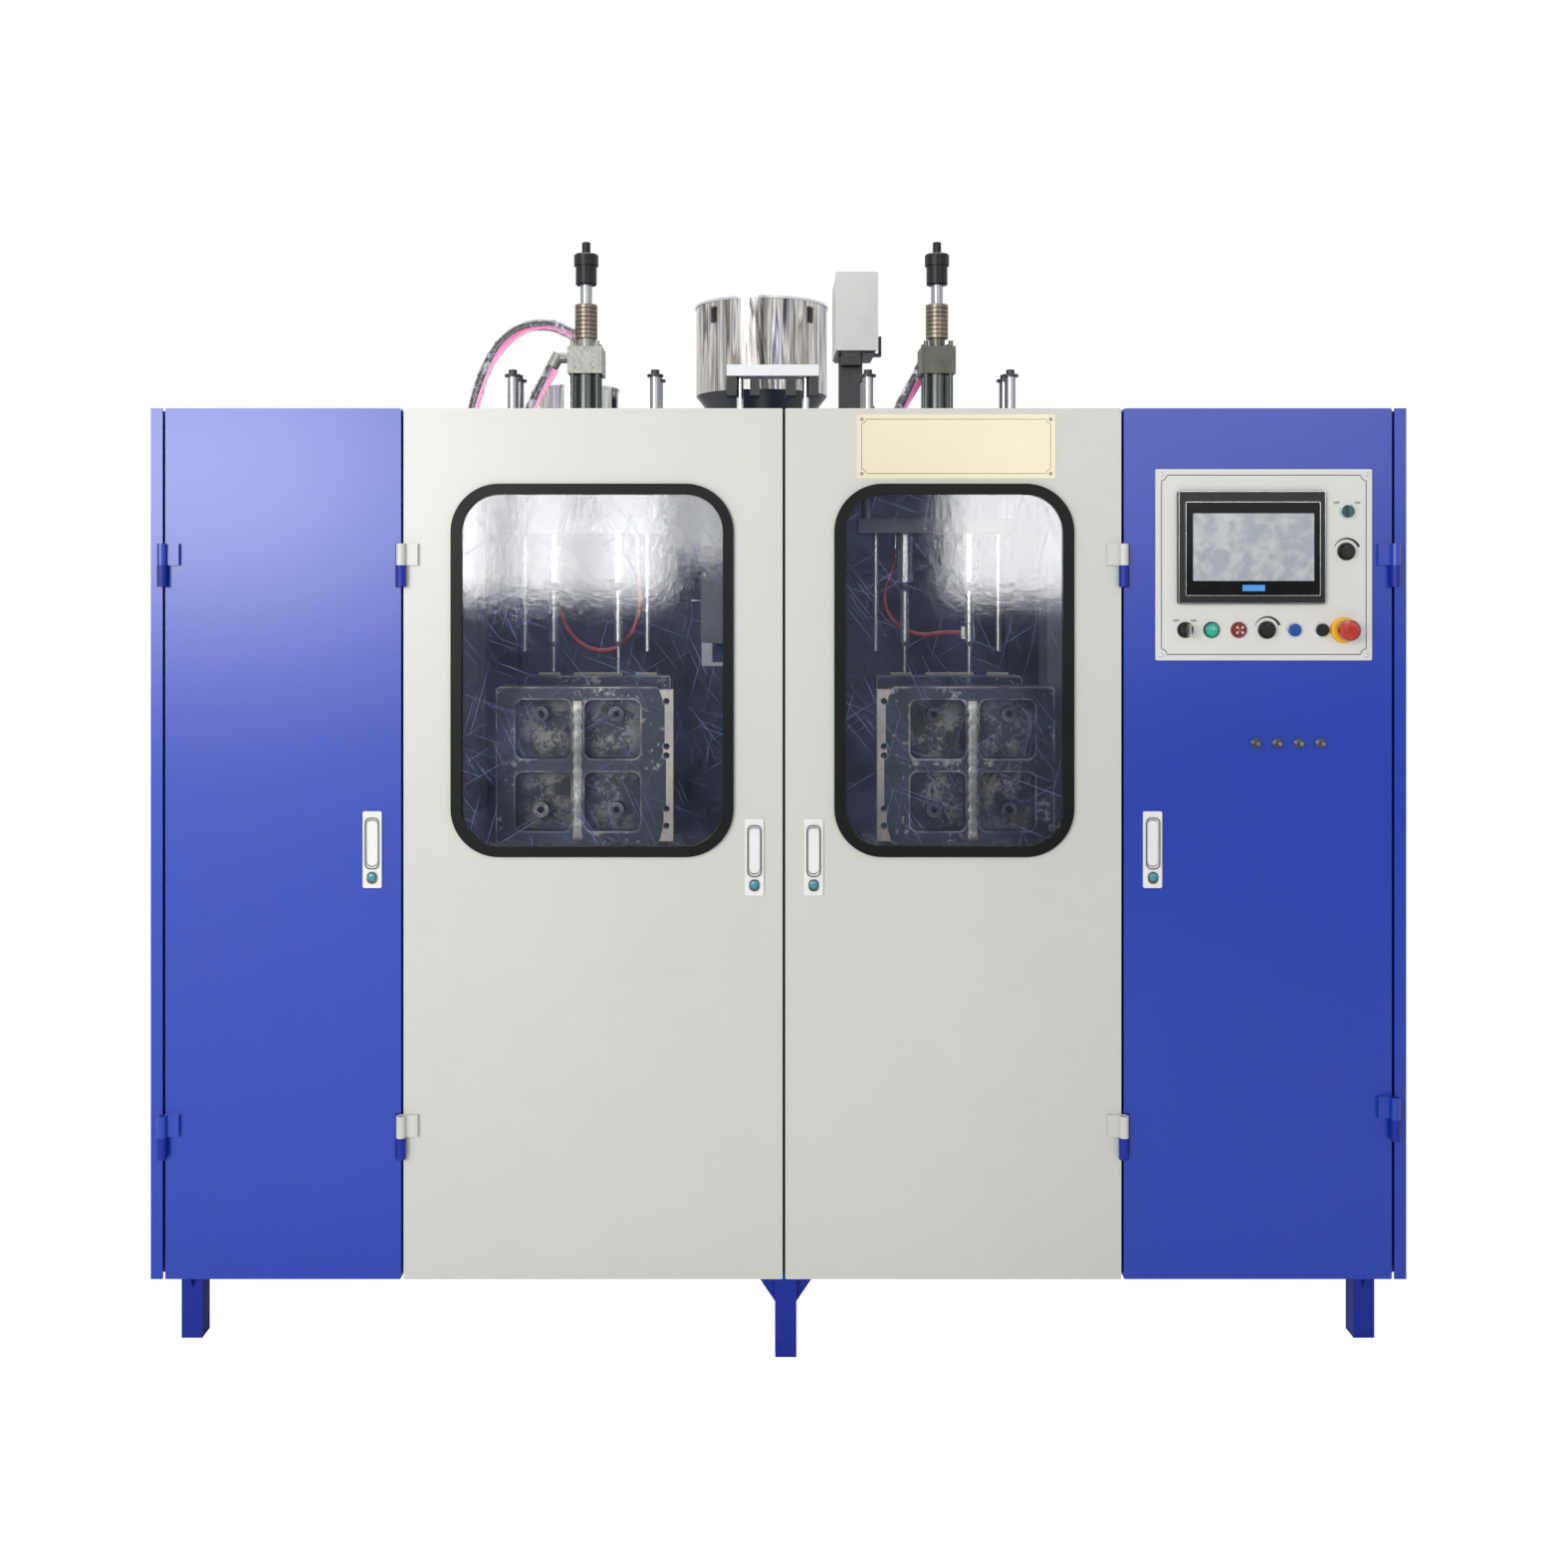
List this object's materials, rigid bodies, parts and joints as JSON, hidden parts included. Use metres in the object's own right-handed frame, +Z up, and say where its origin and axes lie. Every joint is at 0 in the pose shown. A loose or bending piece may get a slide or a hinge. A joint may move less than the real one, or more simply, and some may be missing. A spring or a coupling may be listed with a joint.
{
  "type": "blow moulding machine",
  "caption": "Shuttle blow moulding machine in a blue and beige steel cabinet with windowed guard doors, a control panel, blow heads and a polished hopper.",
  "frame": {"origin": "middle of the floor rectangle that the machine covers, at floor level", "axes": "+X to the operator's right, +Y to the back, +Z up"},
  "size_m": [2.334, 2.09, 2.258],
  "materials": {
    "blue_paint": "semi-gloss powder coat, fine orange peel",
    "beige_paint": "satin powder coat, fine orange peel",
    "machine_grey": "hammertone enamel",
    "cast_iron": "rough cast, machined edges",
    "steel": "machined",
    "chrome": "polished",
    "stainless": "mirror-polished stainless sheet",
    "bronze": "oiled bronze and steel rings",
    "black_rubber": "matte",
    "pane": "clear, hazed and lightly scratched",
    "gold_plate": "fine brushed",
    "panel_cream": "satin",
    "black_plastic": "fine grain",
    "blue_plastic": "gloss",
    "green_plastic": "gloss",
    "red_plastic": "gloss",
    "hose_rubber": "ribbed rubber in clear film",
    "red_hose": "smooth tube",
    "box_grey": "light grey enamel",
    "black_paint": "matte black",
    "white_paint": "satin white"
  },
  "bodies": {
    "base": {"base_frame": "blue_paint", "left_side_panel": "blue_paint", "right_side_panel": "blue_paint", "rear_covers": "blue_paint", "machine_bed": "machine_grey", "shuttle_rails": "steel", "blow_bridge": "machine_grey", "blow_cylinders": "machine_grey", "stop_washers": "bronze", "die_head": "steel", "extruder_barrel": "steel", "heater_bands": "stainless", "gearbox": "machine_grey", "drive_motor": "machine_grey", "belt_guard": "blue_paint", "hopper": "stainless", "side_hopper": "stainless", "lift_beam": "white_paint", "lift_posts": "chrome", "box_bracket": "black_paint", "junction_box": "box_grey", "arch_hose": "hose_rubber", "drop_hose": "hose_rubber", "right_hose": "hose_rubber", "hydraulic_unit": "machine_grey", "electric_plate": "box_grey"},
    "left_cabinet_door": {"left_cabinet_door": "blue_paint"},
    "left_cabinet_lever": {"left_cabinet_door_lever": "chrome"},
    "left_guard_door": {"left_guard_door": "beige_paint", "left_window_seal": "black_rubber", "left_window_pane": "pane"},
    "left_guard_lever": {"left_guard_door_lever": "chrome"},
    "right_guard_door": {"right_guard_door": "beige_paint", "right_window_seal": "black_rubber", "right_window_pane": "pane", "name_plate": "gold_plate"},
    "right_guard_lever": {"right_guard_door_lever": "chrome"},
    "control_door": {"control_door": "blue_paint", "control_plate": "panel_cream", "hmi_unit": "black_plastic", "switch_bezels": "chrome"},
    "control_lever": {"control_door_lever": "chrome"},
    "selector": {"selector_knob": "green_plastic"},
    "key": {"start_key": "steel"},
    "speed": {"speed_knob": "black_plastic"},
    "cutter_heat": {"cutter_knob": "black_plastic"},
    "reset": {"reset_button": "blue_plastic"},
    "run": {"run_button": "black_plastic"},
    "estop": {"estop_head": "red_plastic"},
    "knife": {"hot_knife": "steel"},
    "left_shuttle": {"left_carriage": "machine_grey"},
    "right_shuttle": {"right_carriage": "machine_grey"},
    "left_front": {"left_front_platen": "cast_iron"},
    "left_rear": {"left_rear_platen": "cast_iron"},
    "right_front": {"right_front_platen": "cast_iron"},
    "right_rear": {"right_rear_platen": "cast_iron"},
    "left_blow": {"left_blow_carriage": "chrome", "left_air_hose": "red_hose"},
    "right_blow": {"right_blow_carriage": "chrome", "right_air_hose": "red_hose"}
  },
  "joints": [
    {"name": "left_cabinet_door_swing", "type": "hinge", "parent": "base", "child": "left_cabinet_door", "pos_m": [-1.1425, -1.0115, 0.97], "axis": [0, 0, -1], "range_deg": [0, 110]},
    {"name": "left_guard_door_swing", "type": "hinge", "parent": "base", "child": "left_guard_door", "pos_m": [-0.6995, -1.0115, 0.97], "axis": [0, 0, -1], "range_deg": [0, 110]},
    {"name": "right_guard_door_swing", "type": "hinge", "parent": "base", "child": "right_guard_door", "pos_m": [0.6395, -1.0115, 0.97], "axis": [0, 0, 1], "range_deg": [0, 110]},
    {"name": "control_door_swing", "type": "hinge", "parent": "base", "child": "control_door", "pos_m": [1.1425, -1.0115, 0.97], "axis": [0, 0, 1], "range_deg": [0, 110]},
    {"name": "left_cabinet_lever_lift", "type": "hinge", "parent": "left_cabinet_door", "child": "left_cabinet_lever", "pos_m": [-0.7545, -1.002, 1.009], "axis": [-1, 0, 0], "range_deg": [0, 40]},
    {"name": "left_guard_lever_lift", "type": "hinge", "parent": "left_guard_door", "child": "left_guard_lever", "pos_m": [-0.045, -1.002, 0.995], "axis": [-1, 0, 0], "range_deg": [0, 40]},
    {"name": "right_guard_lever_lift", "type": "hinge", "parent": "right_guard_door", "child": "right_guard_lever", "pos_m": [0.065, -1.002, 0.995], "axis": [-1, 0, 0], "range_deg": [0, 40]},
    {"name": "control_lever_lift", "type": "hinge", "parent": "control_door", "child": "control_lever", "pos_m": [0.6945, -1.002, 1.009], "axis": [-1, 0, 0], "range_deg": [0, 40]},
    {"name": "selector_turn", "type": "hinge", "parent": "control_door", "child": "selector", "pos_m": [1.0554, -1.005, 1.587], "axis": [0, 1, 0], "range_deg": [0, 60]},
    {"name": "key_turn", "type": "hinge", "parent": "control_door", "child": "key", "pos_m": [0.755, -1.005, 1.367], "axis": [0, 1, 0], "range_deg": [0, 60]},
    {"name": "speed_turn", "type": "hinge", "parent": "control_door", "child": "speed", "pos_m": [1.0537, -1.005, 1.5126], "axis": [0, 1, 0], "range_deg": [-150, 150]},
    {"name": "cutter_turn", "type": "hinge", "parent": "control_door", "child": "cutter_heat", "pos_m": [0.9064, -1.005, 1.367], "axis": [0, 1, 0], "range_deg": [-150, 150]},
    {"name": "reset_press", "type": "slide", "parent": "control_door", "child": "reset", "axis": [0, 1, 0], "range_m": [0, 0.004], "stiffness_N_per_m": 300},
    {"name": "run_press", "type": "slide", "parent": "control_door", "child": "run", "axis": [0, 1, 0], "range_m": [0, 0.004], "stiffness_N_per_m": 300},
    {"name": "estop_press", "type": "slide", "parent": "control_door", "child": "estop", "axis": [0, 1, 0], "range_m": [0, 0.004], "stiffness_N_per_m": 600},
    {"name": "knife_stroke", "type": "slide", "parent": "base", "child": "knife", "axis": [0, 1, 0], "range_m": [0, 0.12]},
    {"name": "left_shuttle_travel", "type": "slide", "parent": "base", "child": "left_shuttle", "axis": [1, 0, 0], "range_m": [-0.054, 0.384]},
    {"name": "right_shuttle_travel", "type": "slide", "parent": "base", "child": "right_shuttle", "axis": [1, 0, 0], "range_m": [-0.402, 0]},
    {"name": "left_front_close", "type": "slide", "parent": "left_shuttle", "child": "left_front", "axis": [0, 1, 0], "range_m": [0, 0.08]},
    {"name": "left_rear_close", "type": "slide", "parent": "left_shuttle", "child": "left_rear", "axis": [0, 1, 0], "range_m": [-0.08, 0]},
    {"name": "right_front_close", "type": "slide", "parent": "right_shuttle", "child": "right_front", "axis": [0, 1, 0], "range_m": [0, 0.08]},
    {"name": "right_rear_close", "type": "slide", "parent": "right_shuttle", "child": "right_rear", "axis": [0, 1, 0], "range_m": [-0.08, 0]},
    {"name": "left_blow_stroke", "type": "slide", "parent": "base", "child": "left_blow", "axis": [0, 0, -1], "range_m": [0, 0.042]},
    {"name": "right_blow_stroke", "type": "slide", "parent": "base", "child": "right_blow", "axis": [0, 0, -1], "range_m": [0, 0.042]}
  ],
  "couplings": [
    {"joint": "left_rear_close", "follows": "left_front_close", "ratio": -1},
    {"joint": "right_rear_close", "follows": "right_front_close", "ratio": -1}
  ]
}
